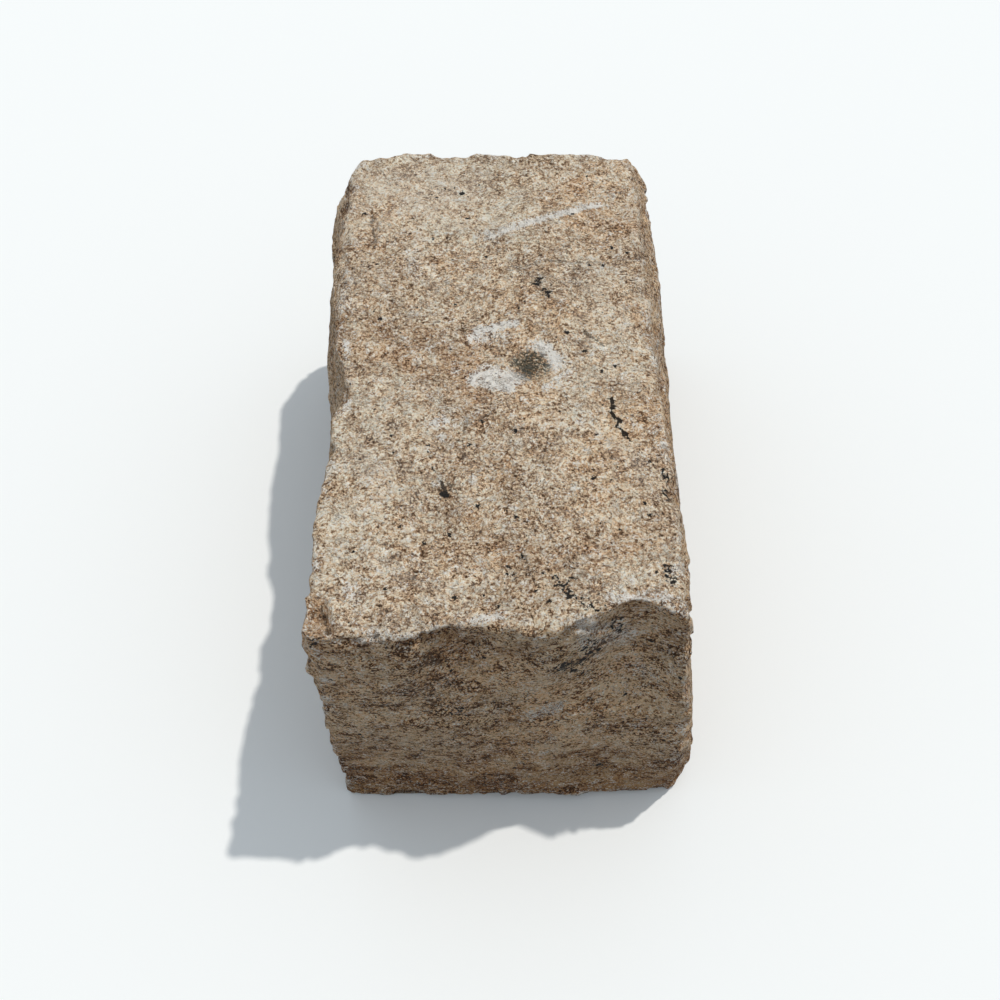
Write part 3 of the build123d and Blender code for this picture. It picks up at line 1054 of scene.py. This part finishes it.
def dark_pits(tree, grains):
    """Where dark veins, threads and pits lie."""
    patches = grains["patches"]
    vein = away_from(tree, cloud(tree, grains["lain"], VEIN_SIZE, detail=4.0, roughness=0.65), 0.5)
    vein = times(tree, step(tree, vein, 0.028, 0.0), step(tree, patches[1], 0.46, 0.62))
    thread = away_from(tree, cloud(tree, grains["bent"], THREAD_SIZE, detail=3.0, roughness=0.65), 0.53)
    thread = times(tree, step(tree, thread, 0.03, 0.0), step(tree, patches[2], 0.57, 0.43))
    thread = higher(tree, vein, thread)
    pit = cloud(tree, grains["bent"], PIT_SIZE, detail=3.0, roughness=0.6)
    pit = times(tree, step(tree, pit, 0.42, 0.35), step(tree, patches[2], 0.38, 0.56))
    pit = higher(tree, pit, times(tree, thread, THREAD_SHARE))

    # Pale stone has fewer of them
    return times(tree, pit, step(tree, mark(tree, "stain"), -0.6, 0.0, 0.35, 1.0))


def black_mica(tree, grains):
    """Where black mica lies: strewn flakes and dots, clusters, and single crystals."""
    ragged = grains["ragged"]
    flakes = cells(tree, grains["bent"], FLAKE_SIZE)
    flake = channels(tree, flakes.outputs["Color"])
    chance = step(tree, off_middle(tree, grains["patches"][1], 0.8, flake[0]), *FLAKE_CHANCE)
    size = maths(tree, "MULTIPLY_ADD", flake[1], FLAKE_MORE, FLAKE_LEAST)
    strewn = step(tree, flakes.outputs["Distance"], size, times(tree, size, FLAKE_CORE))
    strewn = times(tree, chance, strewn)

    dots = cells(tree, grains["bent"], DOT_SIZE)
    chance = step(tree, channels(tree, dots.outputs["Color"])[0], *DOT_CHANCE)
    dotted = times(tree, chance, step(tree, dots.outputs["Distance"], *DOT_EDGE))

    torn = shaken(tree, grains["mm"], size=1.4, reach=0.5)
    blobs = cloud(tree, torn, BLOB_SIZE, detail=3.0, roughness=0.7)
    needed = maths(tree, "MULTIPLY_ADD", mark(tree, "cluster"), CLUSTER_LOWERS, BLOB_BAR)
    cluster = step(tree, maths(tree, "SUBTRACT", blobs, needed), 0.0, BLOB_EDGE)

    speck = vector_mark(tree, "speck")
    speck_x = off_middle(tree, ragged[0], SPECK_RAGGED, speck[0])
    speck_y = off_middle(tree, ragged[1], SPECK_RAGGED, speck[1])
    squares = maths(tree, "MULTIPLY_ADD", speck_x, speck_x, times(tree, speck_y, speck_y))
    gap = maths(tree, "SQRT", squares)
    single = step(tree, maths(tree, "SUBTRACT", gap, speck[2]), SPECK_EDGE, -SPECK_EDGE)
    return higher(tree, higher(tree, strewn, dotted), higher(tree, cluster, single))


def cracks(tree, grains):
    """Where cracks lie: ragged lines that widen, narrow and break off."""
    crack = vector_mark(tree, "crack")
    bend = cloud(tree, grains["mm"], CRACK_BEND_SIZE, detail=3.0, roughness=0.65)
    line = off_middle(tree, bend, CRACK_BEND, crack[0])
    line = maths(tree, "SUBTRACT", maths(tree, "ABSOLUTE", line), crack[1])
    line = off_middle(tree, grains["ragged"][2], CRACK_RAGGED, line)
    width = cloud(tree, grains["mm"], CRACK_BREAK_SIZE, detail=2.0, roughness=0.6)
    line = off_middle(tree, width, CRACK_BREAK, line)
    return times(tree, step(tree, line, 0.16, -0.1), crack[2])


def granite():
    material = bpy.data.materials.new("granite")
    material.use_nodes = True
    tree = material.node_tree
    tree.nodes.clear()
    output = node(tree, "ShaderNodeOutputMaterial")
    shader = node(tree, "ShaderNodeBsdfPrincipled")
    tree.links.new(shader.outputs[0], output.inputs[0])

    side = mark(tree, "side")
    grains = grain(tree, side)
    fine = grains["fine"]
    middle = grains["middle"]
    crystal = grains["crystal"]
    body = weathered_and_shaded(tree, side, grains, clean_stone(tree, side, grains))

    # Crushed stone and soot break up with the grain
    broken = off_middle(tree, middle, MIDDLE_BREAKS, 0.0)
    broken = off_middle(tree, grains["grit"][1], GRIT_BREAKS, broken)
    broken = off_middle(tree, fine, FINE_BREAKS, broken)
    body = crushed_by_blows(tree, grains, broken, body)
    body = blend(tree, times(tree, pale_flecks(tree, grains), FLECK_SHARE), body, FLECK)
    pit = dark_pits(tree, grains)
    body = tinted(tree, times(tree, pit, PIT_SHARE), body, PIT)

    # Soot of the hammer blow
    soot = mark(tree, "soot")
    sooty = step(tree, maths(tree, "ADD", soot, broken), 0.1, 0.85)
    sooty = times(tree, sooty, step(tree, soot, 0.05, 0.4))
    body = blend(tree, times(tree, sooty, SOOT_SHARE), body, SOOT)

    mica = black_mica(tree, grains)
    body = blend(tree, times(tree, mica, MICA_SHARE), body, MICA)
    crack = cracks(tree, grains)
    body = blend(tree, crack, body, CRACK)
    tree.links.new(body, shader.inputs["Base Color"])

    rough = maths(tree, "MULTIPLY_ADD", crystal[1], ROUGH_SPREAD, ROUGH_LEAST)
    rough = maths(tree, "MULTIPLY_ADD", mica, MICA_SMOOTHER, rough)
    tree.links.new(rough, shader.inputs["Roughness"])
    shader.inputs["Specular IOR Level"].default_value = GLOSS

    # Fine relief: broken grains, small pits and open cracks
    rise = times(tree, crystal[1], CRYSTAL_RISE)
    rise = maths(tree, "MULTIPLY_ADD", fine, FINE_RISE, rise)
    rise = maths(tree, "MULTIPLY_ADD", middle, MIDDLE_RISE, rise)
    rise = maths(tree, "MULTIPLY_ADD", pit, PIT_RISE, rise)
    rise = maths(tree, "MULTIPLY_ADD", crack, CRACK_RISE, rise)
    bump = node(tree, "ShaderNodeBump", {"Strength": 1.0, "Distance": BUMP_HEIGHT * MM, "Height": rise})
    tree.links.new(bump.outputs[0], shader.inputs["Normal"])
    return material


def seen(tree):
    """One for a ray from the eye, straight, off a gloss or through glass, and nought for light."""
    path = node(tree, "ShaderNodeLightPath")
    eye = higher(tree, path.outputs["Is Camera Ray"], path.outputs["Is Glossy Ray"])
    return higher(tree, eye, path.outputs["Is Transmission Ray"])


def pale_floor():
    mesh = bpy.data.meshes.new("floor")
    corners = [(x * FLOOR_HALF, y * FLOOR_HALF, 0) for x, y in ((-1, -1), (1, -1), (1, 1), (-1, 1))]
    mesh.from_pydata(corners, [], [(0, 1, 2, 3)])
    floor = bpy.data.objects.new("floor", mesh)
    bpy.context.scene.collection.objects.link(floor)
    material = bpy.data.materials.new("floor")
    material.use_nodes = True
    tree = material.node_tree
    tree.nodes.clear()
    colour = blend(tree, seen(tree), FLOOR_BOUNCE, FLOOR_SEEN)
    surface = node(tree, "ShaderNodeBsdfDiffuse", {0: colour})
    output = node(tree, "ShaderNodeOutputMaterial")
    tree.links.new(surface.outputs[0], output.inputs[0])
    mesh.materials.append(material)


def light():
    lamp = bpy.data.lights.new("sun", "SUN")
    lamp.energy = SUN_STRENGTH
    lamp.color = SUN_COLOUR
    lamp.angle = math.radians(SUN_ANGLE)
    sun = bpy.data.objects.new("sun", lamp)
    sun.rotation_euler = Vector(SUN_FROM).to_track_quat("Z", "Y").to_euler()
    bpy.context.scene.collection.objects.link(sun)
    world = bpy.data.worlds.new("fill")
    world.use_nodes = True
    tree = world.node_tree
    background = tree.nodes["Background"]
    eye = seen(tree)
    feed(tree, background.inputs[0], blend(tree, eye, FILL_COLOUR, BACKDROP_SEEN))
    feed(tree, background.inputs[1], maths(tree, "MULTIPLY_ADD", eye, 1.0 - FILL, FILL))
    bpy.context.scene.world = world


def camera():
    lens = bpy.data.cameras.new("camera")
    lens.lens = LENS
    lens.sensor_width = SENSOR
    lens.clip_start = 0.01
    viewer = bpy.data.objects.new("camera", lens)
    viewer.location = [value * MM for value in CAMERA_PLACE]
    viewer.rotation_euler = (math.radians(CAMERA_TILT), 0.0, 0.0)
    bpy.context.scene.collection.objects.link(viewer)
    bpy.context.scene.camera = viewer


camera()
light()
pale_floor()
mesh = shaped_stone()
mesh.materials.append(granite())
stone = bpy.data.objects.new("stone", mesh)
bpy.context.scene.collection.objects.link(stone)
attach(stone, "root")
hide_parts("granite_block")

bpy.context.scene.view_settings.view_transform = "Standard"

triangles = sum(len(face.vertices) - 2 for face in mesh.polygons)
print("stone triangles", triangles)
